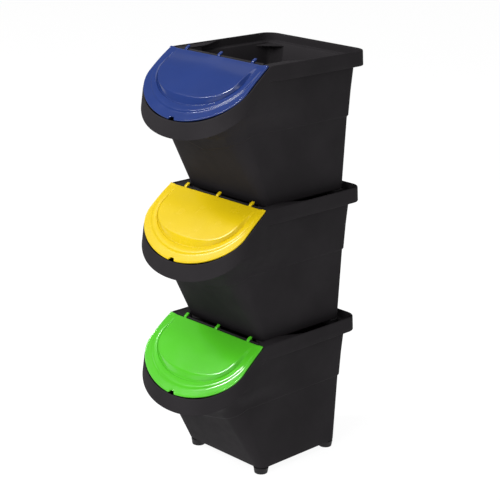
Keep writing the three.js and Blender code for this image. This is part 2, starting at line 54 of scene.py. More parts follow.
# ---- the tub's driving dimensions, in millimetres ----
WALL = 2.5
GAP = 0.3                              # clearance between pieces that fit together
EDGE_GAP = 1.2                         # air between the flap's underside and the mouth's edge
RIM_HALF, RIM_BACK = 149.1, 300.8      # the rim's outline: half its width, and its rear
RIM_CORNER, RIM_THICK, RIM_ROUND = 30.0, 3.0, 2.2
SKIRT, SKIRT_DRAFT = 33.0, 1.8         # the rim's skirt: its height, and how far its foot leans out
SKIRT_ROUND, SKIRT_EASE = 1.5, 0.3     # rounding of its lower edge, and of that edge's corners
LEDGE_DEPTH, LEDGE_ROUND = 18.0, 0.8   # from the rim down to the ledge inside it, and its rounding
BASE_DEPTH = 307.5                     # from the rim down to the floor's underside
BASE_HALF, BASE_FRONT, BASE_BACK = 119.3, 31.0, 272.0
BASE_CORNER, BASE_ROUND = 16.0, 4.0
TOP_HALF, TOP_BACK = 131.8, 283.5      # the tapered wall's outline at the rim's height
FRONT_LEAN = 0.6                       # how far the front wall comes forward per millimetre of height
FRONT_CORNER, BACK_CORNER = 44.0, 15.0
STEP_DEPTH = 143.0                     # from the rim down to the moulded step, at the sides
STEP_FRONT_DROP = 27.0                 # in front, the step lies this far below the plain wall's top
STEP_IN, STEP_RISE = 2.8, 3.0          # how far the step goes in, and over what height
STEP_EASE = 1.2                        # height of plain wall drawn at either end of the step
SCOOP_HALF, SCOOP_DRAFT = 153.0, 4.0   # half the scoop's width, and how far its lower edge stands out
SCOOP_FULLNESS = 0.94                  # below 1, the scoop's front is fuller than a half ellipse
SCOOP_SIDE, SCOOP_FRONT = -45.0, -132.0    # depths at which its curved front begins and ends
BAND_HEIGHT = 36.0
UNDER_PULL = 0.45                      # how far the band's underside runs in before it turns down
CRISP_START, CRISP_END = 0.02, 0.35    # share of the front over which the band's edge grows sharp
FLARE_BACK = 130.0                     # depth at which the cheeks begin to widen
SMOOTH_DEPTH = 88.0                    # from the rim down to the flare's end, where there is no band
WALL_TOP_FRONT, WALL_TOP_SIDE = 165.0, 140.0   # from the rim down to the plain wall's top
FLANGE_FADE = (0.5, 4.0)               # overhang of the rim over which it grows into a flange

# ---- the flap ----
FLAP_SLOPE = radians(41)
FLAP_THICK, FLAP_LENGTH = 2.4, 173.5
FLAP_ARCH = 5.0
ARCH_SHIFT = 0.8                       # below 1, the arch is highest nearer to the hinge
NOTCH_HALF, NOTCH_DEPTH, NOTCH_FLANK = 9.5, 6.8, 3.0
EAR_START, EAR_BACK, EAR_RISE = 131.0, 1.0, 1.6
EAR_BEFORE, EAR_AFTER = 2.0, 1.0       # the ears rise from before their start to past it
EAR_FADE = (1.0, 6.0)                  # and sink again over this slant distance
EDGE_DROP = 0.5                        # the hinge edge lies this much lower
OUTER_STEP, PANEL_RISE = 1.8, 5.2      # heights of the two raised steps
GROOVE = 3.0                           # depth of the groove at the panel's foot
RELIEF_FADE = 60.0                     # the steps fade out over this slant distance towards the hinge

# ---- the hinge ----
ROD_Y, ROD_Z, ROD_RADIUS, ROD_HALF = 6.5, -1.0, 3.2, 128.0
ROD_BEARING = 8.0                      # length of the full-size bearing at each end
ROD_SLIM, ROD_EASE = 0.3, 0.5          # how much slimmer the shaft is, and over what length
ROD_END = ((0.8, 0.0), (0.2, 0.25), (0.0, 0.9))    # its rounding: in from the side, in from the end
HOOK_X = (-100.0, 0.0, 100.0)
HOOK_INNER, HOOK_OUTER, HOOK_WIDTH = 3.5, 6.2, 7.0
HOOK_START, HOOK_SHOULDER, HOOK_END = 55.0, 118.0, 285.0   # angles round the rod, from straight back
FIN_TOP, FIN_BACK = (66.0, 10.4), (58.0, 9.6)               # angle and radius of the fin's tip

# ---- decks, shelves and feet ----
DECK_DEPTH, DECK_INNER = 2.0, 119.5
DECK_FRONT, DECK_STRAIGHT, DECK_BACK = 2.5, 64.0, 160.0    # depths
DECK_LEAN = 1.0                        # how far its edge leans in as it leaves the wall
DECK_EASE_BACK, DECK_EASE_FRONT = 45.0, 35.0               # length of the edge's curve at either end
CHEEK_SINK = 1.0                       # the cheek ends this far below the deck's upper face
SADDLE_REACH = 8.0                     # from the rod's axis to the saddle's underside and rear
FOOT_RADIUS, FOOT_HEIGHT = 17.0, 14.7
SOLE_IN, SOLE_HOLLOW = 2.0, 0.8        # how much narrower the sole is, and how deep its middle
STEM_RADIUS, STEM_LENGTH = 5.0, 9.0
FOOT_X = BASE_HALF - FOOT_RADIUS
FOOT_FRONT, FOOT_BACK = BASE_FRONT + BASE_CORNER, BASE_BACK - BASE_CORNER
BIN_PITCH = 301.0
SHELF_TOP = BIN_PITCH - BASE_DEPTH - FOOT_HEIGHT - 2 * GAP
SHELF_PAST_SIDE, SHELF_PAST_END = 2.0, 3.0    # the front shelves reach this far past a foot
SHELF_SHORT = 0.8                      # and stop this far short of the wall's top outline
SHELF_REACH = 18.0                     # the rear gussets reach this far beyond the middle of a foot

# ---- fineness of the meshes ----
FLOOR_SHARES = (0.02, 0.3, 0.6, 0.9, 0.97)    # rings of the floor, as shares of its outline
BASE_ANGLES = (30, 60, 90)
WALL_ROWS, SCOOP_ROWS = 8, 19
BETWEEN_SHARES = (0.35, 0.7)           # rings that fill a gap between two outlines
PANEL_SHARES = (0.97, 0.92, 0.85, 0.75, 0.62, 0.48, 0.34, 0.2, 0.08)
SIDE_STATIONS, TURN_STATIONS = 14, 84
STATION_SPACING = 1.5                  # above 1, the stations lie closer together at the hinge
STEP_COUNT, GROOVE_COUNT, PANEL_COUNT = 6, 5, 13
DECK_STEPS, HOOK_STEPS = 16, 16
ROD_SIDES, FOOT_SIDES = 32, 48
FITTING_BEVEL, HOOK_BEVEL = 0.6, 0.4


# ---- small helpers ----
def mix(a, b, t):
    return a + (b - a) * t


def smooth(value, low, high):
    """Smooth step from 0 at `low` to 1 at `high`, for numbers and arrays."""
    t = np.clip((value - low) / (high - low), 0.0, 1.0)
    return t * t * (3.0 - 2.0 * t)


def bezier(t, start, leaving, arriving, end):
    """A point of a cubic curve, for numbers and arrays."""
    s = 1.0 - t
    return s ** 3 * start + 3 * s * s * t * leaving + 3 * s * t * t * arriving + t ** 3 * end


def bin_origin(name):
    """Where the bin's own origin lies in the frame: rim height, and the flap's top edge."""
    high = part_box(f"{name}_container")[1]
    return Vector((0.0, high.y - (RIM_BACK + SKIRT_DRAFT) * MM, high.z))


def mesh_object(name, vertices, faces, origin):
    """An object from millimetre vertices in a bin's own axes, placed in the frame."""
    mesh = bpy.data.meshes.new(name)
    placed = np.asarray(vertices, float) * MM + np.array(origin)
    mesh.from_pydata(placed.tolist(), [], faces)
    mesh.validate()
    made = bpy.data.objects.new(name, mesh)
    bpy.context.scene.collection.objects.link(made)
    work = bmesh.new()
    work.from_mesh(mesh)
    bmesh.ops.recalc_face_normals(work, faces=work.faces)
    work.to_mesh(mesh)
    work.free()
    for polygon in mesh.polygons:
        polygon.use_smooth = True
    return made


def bevel(thing, width, segments=3, angle=35):
    """A bevel on sharp edges, `width` in millimetres."""
    modifier = thing.modifiers.new("edges", "BEVEL")
    modifier.width = width * MM
    modifier.segments = segments
    modifier.limit_method = "ANGLE"
    modifier.angle_limit = radians(angle)
    modifier.harden_normals = False


def prism(outline, low, high):
    """Vertices and faces of an upright prism over a plan outline."""
    count = len(outline)
    vertices = [(x, y, low) for x, y in outline] + [(x, y, high) for x, y in outline]
    faces = [tuple(range(count)), tuple(range(2 * count - 1, count - 1, -1))]
    for i in range(count):
        j = (i + 1) % count
        faces.append((i, j, count + j, count + i))
    return vertices, faces


def block(low, high):
    corners = [(low[0], low[1]), (high[0], low[1]), (high[0], high[1]), (low[0], high[1])]
    return prism(corners, low[2], high[2])


def lathe(profile, sides, centre):
    """Vertices and faces of a body turned about Z; the profile starts and ends on the axis."""
    vertices, faces = [], []
    inner = profile[1:-1]
    for radius, z in inner:
        for side in range(sides):
            angle = 2 * pi * side / sides
            vertices.append((centre[0] + radius * cos(angle), centre[1] + radius * sin(angle), z))
    for row in range(len(inner) - 1):
        for side in range(sides):
            after = (side + 1) % sides
            faces.append((row * sides + side, row * sides + after,
                          (row + 1) * sides + after, (row + 1) * sides + side))
    bottom, top = len(vertices), len(vertices) + 1
    vertices += [(*centre, profile[0][1]), (*centre, profile[-1][1])]
    last = (len(inner) - 1) * sides
    for side in range(sides):
        after = (side + 1) % sides
        faces.append((bottom, after, side))
        faces.append((top, last + side, last + after))
    return vertices, faces


def combined(parts):
    """Several (vertices, faces) pairs as one."""
    vertices, faces = [], []
    for more_vertices, more_faces in parts:
        start = len(vertices)
        vertices += [tuple(v) for v in more_vertices]
        faces += [tuple(start + i for i in face) for face in more_faces]
    return vertices, faces


# ---- stations: the same columns in every ring of the tub, from mid back round to mid front ----
BACK, CORNER, SIDE, FRONT = range(4)
COLUMNS = {BACK: 6, CORNER: 7, SIDE: 30, FRONT: 40}


def right_stations():
    kinds, shares = [], []
    for kind, count in COLUMNS.items():
        for i in range(count):
            kinds.append(kind)
            shares.append(i / count)
    kinds.append(FRONT)
    shares.append(1.0)
    return np.array(kinds), np.array(shares)


KIND, SHARE = right_stations()
ANGLE = SHARE * pi / 2
FRONT_SHARE = np.where(KIND == FRONT, SHARE, 0.0)
CRISP = smooth(FRONT_SHARE, CRISP_START, CRISP_END)    # 1 where the band's lower edge is sharp


def wall_point(z, inset, kind=KIND, share=SHARE):
    """x and y of the plain tapered wall at height z, moved inwards by `inset`."""
    angle = share * pi / 2
    up = (z + BASE_DEPTH) / BASE_DEPTH
    half = mix(BASE_HALF, TOP_HALF, up) - inset
    back = mix(BASE_BACK, TOP_BACK, up) - inset
    front = BASE_FRONT - FRONT_LEAN * (z + BASE_DEPTH) + inset
    back_radius = BACK_CORNER - inset
    lobe = np.minimum((z + BASE_DEPTH) / (BASE_DEPTH - WALL_TOP_SIDE), 1.0)
    front_radius = mix(BASE_CORNER, FRONT_CORNER, lobe) - inset
    front_x = half * np.cos(angle)
    into = np.clip(front_x - (half - front_radius), 0.0, None)
    corner_x = half - back_radius + back_radius * np.sin(angle)
    corner_y = back - back_radius + back_radius * np.cos(angle)
    side_y = mix(back - back_radius, front + front_radius, share)
    front_y = front + front_radius - np.sqrt(np.clip(front_radius ** 2 - into ** 2, 0.0, None))
    kinds = [kind == BACK, kind == CORNER, kind == SIDE]
    return (np.select(kinds, [share * (half - back_radius), corner_x, half + 0 * share], front_x),
            np.select(kinds, [back + 0 * share, corner_y, side_y], front_y))


def flare(y):
    """How much wider than the plain wall the cheek is at depth y."""
    return (SCOOP_HALF - TOP_HALF) * smooth(FLARE_BACK - y, 0.0, FLARE_BACK - SCOOP_SIDE)


def scoop_point(z, inset, draft=0.0):
    """x and y of the flared outline that carries the flap, moved inwards by `inset`."""
    x, y = wall_point(z, inset)
    start_y = wall_point(z, inset, SIDE, 0.0)[1]
    side_y = mix(start_y, SCOOP_SIDE, SHARE)
    end_x = wall_point(z, inset, SIDE, 1.0)[0] + flare(SCOOP_SIDE) + draft
    depth = SCOOP_SIDE - SCOOP_FRONT - inset + draft
    turn_x = end_x * np.cos(ANGLE) ** SCOOP_FULLNESS
    turn_y = SCOOP_SIDE - depth * np.sin(ANGLE) ** SCOOP_FULLNESS
    is_side, is_front = KIND == SIDE, KIND == FRONT
    return (np.select([is_side, is_front], [x + flare(side_y), turn_x], x),
            np.select([is_side, is_front], [side_y, turn_y], y))


def arch(slant):
    """How far the flap bows out at a slant distance from its top edge."""
    along = np.clip(slant / FLAP_LENGTH, 0.0, 1.0)
    return FLAP_ARCH * np.sin(pi * along ** ARCH_SHIFT)


def edge_height(y):
    """Height of the mouth's edge: level with the rim behind, sloping under the flap in front."""
    bow = arch(-y / cos(FLAP_SLOPE)) - FLAP_THICK - EDGE_GAP
    return np.minimum(0.0, y * tan(FLAP_SLOPE) + bow / cos(FLAP_SLOPE))


EDGE = edge_height(scoop_point(0.0, RIM_THICK)[1])


def scoop_curve(t, inset):
    """x, y and z between the wall's top (t = 0) and the band's lower edge (t = 1)."""
    thick = inset * CRISP
    low_z = -mix(WALL_TOP_SIDE, WALL_TOP_FRONT, FRONT_SHARE) + inset / 2
    band_z = mix(-SMOOTH_DEPTH, EDGE - BAND_HEIGHT, CRISP) + thick
    rise = (band_z - low_z) / 2
    draft = SCOOP_DRAFT * CRISP
    start = np.stack([*wall_point(low_z, inset), low_z])
    lift = np.stack([*wall_point(low_z + rise, inset), low_z + rise])
    end = np.stack([*scoop_point(band_z, inset, draft), band_z])
    below = np.stack([*scoop_point(band_z - rise, inset, draft), band_z - rise])
    inward = mix(end, start, UNDER_PULL)
    inward[2] = band_z
    return bezier(t, start, lift, mix(below, inward, CRISP), end)


def rim_point(inset, draft=0.0):
    """x and y of the rim's outline, moved inwards by `inset`; in front it is the band itself."""
    x, y = scoop_point(0.0, 0.0)
    radius, half = RIM_CORNER - inset, RIM_HALF - inset
    corner_x = half - radius + radius * np.sin(ANGLE)
    corner_y = RIM_BACK - RIM_CORNER + radius * np.cos(ANGLE)
    side_y = mix(RIM_BACK - RIM_CORNER, SCOOP_SIDE, SHARE)
    band_x, band_y = scoop_point(0.0, inset, draft)
    kinds = [KIND == BACK, KIND == CORNER, KIND == SIDE]
    return (np.select(kinds, [SHARE * (half - radius), corner_x, np.maximum(half, x - inset)], band_x),
            np.select(kinds, [RIM_BACK - inset + 0 * SHARE, corner_y, side_y], band_y))


def flange_share():
    """1 where the rim stands out from the wall, 0 where the wall has flared out to meet it."""
    reach = rim_point(0.0)[0] - scoop_point(0.0, 0.0)[0]
    return np.select([KIND == FRONT, KIND == SIDE], [0.0 * SHARE, smooth(reach, *FLANGE_FADE)], 1.0)


FLANGE = flange_share()


# ---- the tub's rings ----
def step_z():
    return -mix(STEP_DEPTH, WALL_TOP_FRONT + STEP_FRONT_DROP, FRONT_SHARE)


def ring(point, z):
    x, y = point
    return np.stack([x, y, z + 0 * SHARE])


def shrunk(row, share):
    """A flat ring pulled towards the middle of the base."""
    middle = (BASE_FRONT + BASE_BACK) / 2
    return np.stack([row[0] * share, middle + (row[1] - middle) * share, row[2]])


STEP_PROFILE = (   # height above the step's foot, and share of the full push inwards
    (-STEP_EASE, 1.0), (0.0, 0.96), (0.5 * STEP_RISE, 0.5), (STEP_RISE, 0.04),
    (STEP_RISE + STEP_EASE, 0.0))


def lower_rings(inset):
    """From the middle of the floor out to the moulded step; the step pushes the lower wall in."""
    floor = -BASE_DEPTH + inset
    first = ring(wall_point(floor, inset + BASE_ROUND), floor)
    rows = [shrunk(first, share) for share in FLOOR_SHARES] + [first]
    for angle in np.radians(BASE_ANGLES):
        z = floor + BASE_ROUND * (1 - cos(angle))
        rows.append(ring(wall_point(z, inset + BASE_ROUND * (1 - sin(angle))), z))
    low, high = floor + BASE_ROUND, step_z() - STEP_RISE
    for t in np.linspace(0, 1, WALL_ROWS)[1:-1]:
        z = mix(low, high, t)
        rows.append(ring(wall_point(z, inset + STEP_IN * t), z))
    for offset, pushed in STEP_PROFILE:
        z = high + offset
        rows.append(ring(wall_point(z, inset + STEP_IN * pushed), z))
    return rows


def scoop_rings(inset):
    """From the moulded step up the plain wall and out to the band's lower edge."""
    start = scoop_curve(0.0, inset)
    last_step = step_z() + STEP_EASE
    rows = []
    for t in BETWEEN_SHARES:
        z = mix(last_step, start[2], t)
        rows.append(ring(wall_point(z, inset), z))
    for t in np.linspace(0.0, 1.0, SCOOP_ROWS):
        rows.append(scoop_curve(t, inset))
    return rows


def rim_rings():
    """Over the rim: out under the ledge, down and up the skirt, over the top, down to the ledge inside.

    In front the same rows run up the band. Each row is (drop below the edge at the flange, drop at
    the band as a share of its height, outline); an outline takes the band's draft at that height."""
    def between(share):
        """From the wall (0) out to the skirt's inner face (1)."""
        def outline(draft):
            wall_x, wall_y = scoop_point(0.0, 0.0, draft)
            skirt_x, skirt_y = rim_point(RIM_THICK - SKIRT_DRAFT * FLANGE, draft)
            return mix(wall_x, skirt_x, share * FLANGE), mix(wall_y, skirt_y, share * FLANGE)
        return outline

    def skirt(share):
        """Under the skirt's lower edge, from its outer face (0) to its inner face (1)."""
        return lambda draft: rim_point((RIM_THICK * share - SKIRT_DRAFT) * FLANGE, draft)

    def rim(inset):
        return lambda draft: rim_point(inset, draft)

    def face(drop):
        """The skirt's outer face, which leans out towards its lower edge."""
        return lambda draft: rim_point(-SKIRT_DRAFT * drop / SKIRT * FLANGE, draft)

    def lining(extra):
        """The wall's inner face just below the ledge."""
        return lambda draft: scoop_point(0.0, mix(RIM_THICK, WALL, FLANGE) - extra * FLANGE, draft)

    ledge = LEDGE_DEPTH + WALL
    rows = [
        # under the ledge, from the wall to the skirt's inner face
        (ledge + 10, 0.995, between(0.0)),
        (ledge + 2, 0.985, between(0.0)),
        (ledge + 0.5, 0.975, between(0.02)),
        (ledge, 0.965, between(0.12)),
        (ledge, 0.955, between(0.85)),
        (ledge + 0.6, 0.945, between(1.0)),
        (ledge + 3, 0.93, between(1.0)),
        # round the skirt's lower edge
        (SKIRT - SKIRT_ROUND, 0.9, between(1.0)),
        (SKIRT - SKIRT_EASE, 0.87, skirt(0.8)),
        (SKIRT, 0.84, skirt(0.5)),
        (SKIRT - SKIRT_EASE, 0.81, skirt(0.2)),
        (SKIRT - SKIRT_ROUND, 0.78, face(SKIRT)),
        # up its outer face
        *[(drop, share, face(drop)) for drop, share in ((22, 0.61), (11, 0.3), (4, 0.11))],
        # over the rim
        (RIM_ROUND, 0.06, rim(0.0)),
        (RIM_ROUND * 0.62, 0.03, rim(RIM_ROUND * 0.08)),
        (RIM_ROUND * 0.3, 0.01, rim(RIM_ROUND * 0.3)),
        (0.0, 0.0, rim(RIM_ROUND * 0.9)),
        (0.0, 0.0, rim(RIM_THICK - 0.7)),
        (0.2, 0.005, rim(RIM_THICK - 0.2)),
        (0.8, 0.02, rim(RIM_THICK)),
        # down to the ledge inside
        (6, 0.2, rim(RIM_THICK)),
        (LEDGE_DEPTH - 2, 0.5, rim(RIM_THICK)),
        (LEDGE_DEPTH - 0.4, 0.7, rim(RIM_THICK)),
        (LEDGE_DEPTH, 0.74, rim(RIM_THICK + LEDGE_ROUND)),
        (LEDGE_DEPTH, 0.78, lining(LEDGE_ROUND)),
        (LEDGE_DEPTH + LEDGE_ROUND, 0.82, lining(0.0)),
    ]
    made = []
    for flange_drop, band_share, outline in rows:
        drop = mix(BAND_HEIGHT * band_share, flange_drop, FLANGE)
        made.append(ring(outline(SCOOP_DRAFT * band_share * CRISP), EDGE - drop))
    return made


def skin(rows):
    """Vertices and faces of one closed skin: every ring mirrored to the left side, both ends filled."""
    vertices = []
    for row in rows:
        left = row[:, 1:-1][:, ::-1] * np.array([[-1.0], [1.0], [1.0]])
        vertices.append(np.concatenate([row, left], axis=1).T)
    columns = vertices[0].shape[0]
    faces = []
    for i in range(len(rows) - 1):
        for column in range(columns):
            after = (column + 1) % columns
            faces.append((i * columns + column, (i + 1) * columns + column,
                          (i + 1) * columns + after, i * columns + after))
    last = (len(rows) - 1) * columns
    faces.append(tuple(range(columns)))
    faces.append(tuple(range(last + columns - 1, last - 1, -1)))
    return np.concatenate(vertices), faces


# ---- pieces of a bin ----
def deck_parts(side):
    """The deck beside the flap's end, the cheek under it, and the saddle that holds the rod's end."""
    outer = RIM_HALF - RIM_THICK / 2
    outline = [(DECK_INNER, DECK_FRONT), (outer, DECK_FRONT), (outer, DECK_BACK)]
    for i in range(1, DECK_STEPS + 1):
        t = i / DECK_STEPS
        x = bezier(t, outer, outer - DECK_LEAN, DECK_INNER, DECK_INNER)
        y = bezier(t, DECK_BACK, DECK_BACK - DECK_EASE_BACK, DECK_STRAIGHT + DECK_EASE_FRONT, DECK_STRAIGHT)
        outline.append((x, y))
    sheet = prism([(side * x, y) for x, y in outline], -DECK_DEPTH - WALL, -DECK_DEPTH)
    cheek_x = sorted((side * DECK_INNER, side * (DECK_INNER + WALL)))
    cheek = block((cheek_x[0], DECK_FRONT, SHELF_TOP - WALL),
                  (cheek_x[1], DECK_STRAIGHT, -DECK_DEPTH - CHEEK_SINK))
    saddle_x = sorted((side * (DECK_INNER + WALL), side * (ROD_HALF + WALL)))
    saddle = block((saddle_x[0], DECK_FRONT, ROD_Z - SADDLE_REACH),
                   (saddle_x[1], ROD_Y + SADDLE_REACH, ROD_Z - ROD_RADIUS - GAP))
    return [sheet, cheek, saddle]


def shelf_parts(side):
    """The shelves that the feet of the bin above stand on."""
    x = sorted((side * (FOOT_X - FOOT_RADIUS - SHELF_PAST_SIDE), side * (TOP_HALF - SHELF_SHORT)))
    reach = FOOT_RADIUS + SHELF_PAST_END
    front = block((x[0], FOOT_FRONT - reach, SHELF_TOP - WALL), (x[1], FOOT_FRONT + reach, SHELF_TOP))
    wall_x = wall_point(SHELF_TOP, WALL / 2)[0][KIND == SIDE][0]
    back = wall_point(SHELF_TOP, WALL / 2)[1][0]
    outline = [(wall_x, FOOT_BACK - SHELF_REACH), (wall_x, back - BACK_CORNER / 2),
               (wall_x - BACK_CORNER / 2, back), (FOOT_X - SHELF_REACH, back)]
    rear = prism([(side * x, y) for x, y in outline], SHELF_TOP - WALL, SHELF_TOP)
    return [front, rear]


def make_container(name):
    inside = scoop_rings(WALL)[::-1] + lower_rings(WALL)[::-1]
    rows = lower_rings(0.0) + scoop_rings(0.0) + rim_rings() + inside
    tub = mesh_object(f"{name}_tub", *skin(rows), bin_origin(name))
    fittings = combined([part for side in (-1, 1) for part in deck_parts(side) + shelf_parts(side)])
    shelves = mesh_object(f"{name}_rim_fittings", *fittings, bin_origin(name))
    bevel(shelves, FITTING_BEVEL)
    return tub, shelves


# ---- the flap ----
class Contour:
    """A D-shaped line on the flap, from the hinge's left end round the front to its right end."""

    def __init__(self, hinge_half, half, straight, length, fullness):
        self.hinge_half = hinge_half
        self.half = half
        self.straight = straight
        self.length = length
        self.fullness = fullness

    def points(self):
        """x and slant distance of each station."""
        along = np.linspace(0, 1, SIDE_STATIONS, endpoint=False) ** STATION_SPACING
        slant = self.straight * along
        width = self.half - (self.half - self.hinge_half) * (1 - along) ** 2
        angle = np.linspace(0, pi, TURN_STATIONS + 1)
        x = self.half * np.sign(np.cos(angle)) * np.abs(np.cos(angle)) ** self.fullness
        turn = self.straight + (self.length - self.straight) * np.abs(np.sin(angle)) ** self.fullness
        return (np.concatenate([-width, -x, width[::-1]]),
                np.concatenate([slant, turn, slant[::-1]]))

    def inset(self, distance):
        """The same stations moved towards the middle of the flap."""
        x, slant = self.points()
        dx, ds = np.gradient(x), np.gradient(slant)
        length = np.hypot(dx, ds)
        moved = slant - distance * dx / length
        moved[[0, -1]] = 0.0
        return x + distance * ds / length, moved


OUTLINE = Contour(146.5, 149.0, 74.0, FLAP_LENGTH, 1.06)
STEP_FOOT = Contour(141.0, 141.5, 50.0, 154.0, 1.04)
STEP_TOP = Contour(138.5, 138.5, 50.0, 149.5, 1.04)
GROOVE_EDGE = Contour(128.2, 126.2, 50.0, 136.4, 1.0)
PANEL_FOOT = Contour(126.0, 124.0, 50.0, 134.0, 1.0)
PANEL_TOP = Contour(119.5, 117.5, 50.0, 116.0, 0.8)
LIP = (   # inset from the outline, height of the upper face, height of the lower face
    (0.0, -0.9, -2.7), (0.25, -0.25, -3.2), (0.8, 0.2, -3.3),
    (1.6, 0.3, -3.0), (2.4, 0.05, -2.4), (3.4, 0.0, -2.4))


def soft_ramp(t, soft=0.22):
    """From 0 to 1 in a straight line with rounded ends; `soft` is the rounded share at each end."""
    slope = 1.0 / (1.0 - soft)
    if t < soft:
        return slope * t * t / (2 * soft)
    if t > 1 - soft:
        return 1 - slope * (1 - t) ** 2 / (2 * soft)
    return slope * (t - soft / 2)


def flap_rows():
    """Rows of (x, slant, upper height, lower height) from the flap's edge to its middle."""
    rows = []
    for inset, high, low in LIP:
        x, slant = OUTLINE.inset(inset)
        cut = NOTCH_DEPTH * np.clip((NOTCH_HALF - np.abs(x)) / NOTCH_FLANK, 0.0, 1.0)
        slant = np.where(slant > FLAP_LENGTH / 2, slant - cut, slant)
        rows.append((x, slant, high + 0 * x, low + 0 * x))

    def add(x, slant, rise):
        height = rise * smooth(slant, 0.0, RELIEF_FADE)
        rows.append((x, slant, height, height - FLAP_THICK))

    edge_x, edge_slant = rows[-1][:2]
    foot_x, foot_slant = STEP_FOOT.points()
    for t in BETWEEN_SHARES:
        add(mix(edge_x, foot_x, t), mix(edge_slant, foot_slant, t), 0.0)
    panel, trough = OUTER_STEP + PANEL_RISE, OUTER_STEP - GROOVE
    slopes = (
        (STEP_FOOT, STEP_TOP, 0.0, OUTER_STEP, STEP_COUNT),
        (GROOVE_EDGE, PANEL_FOOT, OUTER_STEP, trough, GROOVE_COUNT),
        (PANEL_FOOT, PANEL_TOP, trough, panel, PANEL_COUNT),
    )
    for outer, inner, low, high, count in slopes:
        outer_x, outer_slant = outer.points()
        inner_x, inner_slant = inner.points()
        first = 1 if outer is PANEL_FOOT else 0    # the groove has already drawn the panel's foot
        for step in range(first, count + 1):
            t = step / count
            rise = mix(low, high, soft_ramp(t))
            add(mix(outer_x, inner_x, t), mix(outer_slant, inner_slant, t), rise)
    top_x, top_slant = PANEL_TOP.points()
    for share in PANEL_SHARES:
        add(top_x * share, top_slant * share, panel)
    return rows


def on_slope(x, slant, height):
    """Flap-plane positions in the bin's own axes, with the arch, the ears and the lower hinge edge."""
    ear = smooth(np.abs(x), EAR_START - EAR_BEFORE, EAR_START + EAR_AFTER) * (1 - smooth(slant, *EAR_FADE))
    height = height + arch(slant) + EAR_RISE * ear
    height = height + np.where(slant == 0.0, -EDGE_DROP, 0.0)
    slant = np.where(slant == 0.0, -EAR_BACK * ear, slant)
    y = -slant * cos(FLAP_SLOPE) - height * sin(FLAP_SLOPE)
    z = -slant * sin(FLAP_SLOPE) + height * cos(FLAP_SLOPE)
    return np.stack([x, y, z], axis=1)


def flap_sheet():
    """The arched, stepped sheet as one closed body."""
    rows = flap_rows()
    upper = [on_slope(x, slant, high) for x, slant, high, _ in rows]
    lower = [on_slope(x, slant, low) for x, slant, _, low in rows]
    count, depth = len(upper[0]), len(upper)
    under = depth * count          # index of the first vertex of the lower face
    faces = []
    for row in range(depth - 1):
        for column in range(count - 1):
            a = row * count + column
            b = a + count
            faces.append((a, b, b + 1, a + 1))
            faces.append((under + a, under + a + 1, under + b + 1, under + b))
        for end in (0, count - 1):
            a = row * count + end
            faces.append((a, a + count, under + a + count, under + a))
    for column in range(count - 1):
        faces.append((column, column + 1, under + column + 1, under + column))
    inner = (depth - 1) * count
    faces.append(tuple(inner + column for column in range(count)))
    faces.append(tuple(under + inner + column for column in reversed(range(count))))
    faces.append((inner, inner + count - 1, under + inner + count - 1, under + inner))
    return np.concatenate(upper + lower), faces


def hook_parts(x):
    """One claw round the hinge rod, with a fin that leans back over it."""
    def at(angle, radius):
        return radius * cos(radians(angle)), radius * sin(radians(angle))

    shares = [i / HOOK_STEPS for i in range(HOOK_STEPS + 1)]
    outline = [at(mix(HOOK_END, HOOK_SHOULDER, share), HOOK_OUTER) for share in shares]
    outline += [at(*FIN_TOP), at(*FIN_BACK)]
    outline += [at(mix(HOOK_START, HOOK_END, share), HOOK_INNER) for share in shares]
    vertices, faces = prism(outline, -HOOK_WIDTH / 2, HOOK_WIDTH / 2)
    return [(x + across, ROD_Y + back, ROD_Z + up) for back, up, across in vertices], faces


def make_flap(name):
    origin = bin_origin(name)
    sheet = mesh_object(f"{name}_flap_sheet", *flap_sheet(), origin)
    hooks = mesh_object(f"{name}_flap_hooks", *combined([hook_parts(x) for x in HOOK_X]), origin)
    bevel(hooks, HOOK_BEVEL)
    return sheet, hooks


# ---- rod and feet ----
def make_rod(name):
    """The hinge rod, with rounded ends and a slightly slimmer shaft between its bearings."""
    profile = [(0.0, -ROD_HALF)]
    profile += [(ROD_RADIUS - side, -ROD_HALF + end) for side, end in ROD_END]
    profile += [(ROD_RADIUS, -ROD_HALF + ROD_BEARING),
                (ROD_RADIUS - ROD_SLIM, -ROD_HALF + ROD_BEARING + ROD_EASE)]
    profile += [(radius, -z) for radius, z in reversed(profile)]
    vertices, faces = lathe(profile, ROD_SIDES, (0.0, 0.0))
    placed = [(z, ROD_Y + a, ROD_Z + b) for a, b, z in vertices]
    return mesh_object(f"{name}_rod", placed, faces, bin_origin(name))


def foot_profile():
    """From the middle of the sole to the middle of the stem's end, heights from the sole."""
    sole = FOOT_RADIUS - SOLE_IN
    top, stem_end = FOOT_HEIGHT, FOOT_HEIGHT + STEM_LENGTH
    return [
        (0.0, SOLE_HOLLOW), (sole - 5.0, SOLE_HOLLOW), (sole - 4.2, 0.5), (sole - 3.6, 0.0),
        (sole - 1.6, 0.0), (sole - 0.5, 0.4), (sole, 1.6), (sole + 0.25, 3.0),
        (FOOT_RADIUS - 0.5, top - 3.0), (FOOT_RADIUS, top - 2.2), (FOOT_RADIUS, top - 0.7),
        (FOOT_RADIUS - 0.6, top), (STEM_RADIUS + 0.2, top), (STEM_RADIUS, top + 0.3),
        (STEM_RADIUS, stem_end - 1.0), (STEM_RADIUS - 0.8, stem_end), (0.0, stem_end),
    ]


def make_foot(name, corner):
    low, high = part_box(f"{name}_foot_{corner}")
    middle = (low + high) / 2
    vertices, faces = lathe(foot_profile(), FOOT_SIDES, (0.0, 0.0))
    return mesh_object(f"{name}_pad_{corner}", vertices, faces, (middle.x, middle.y, low.z))


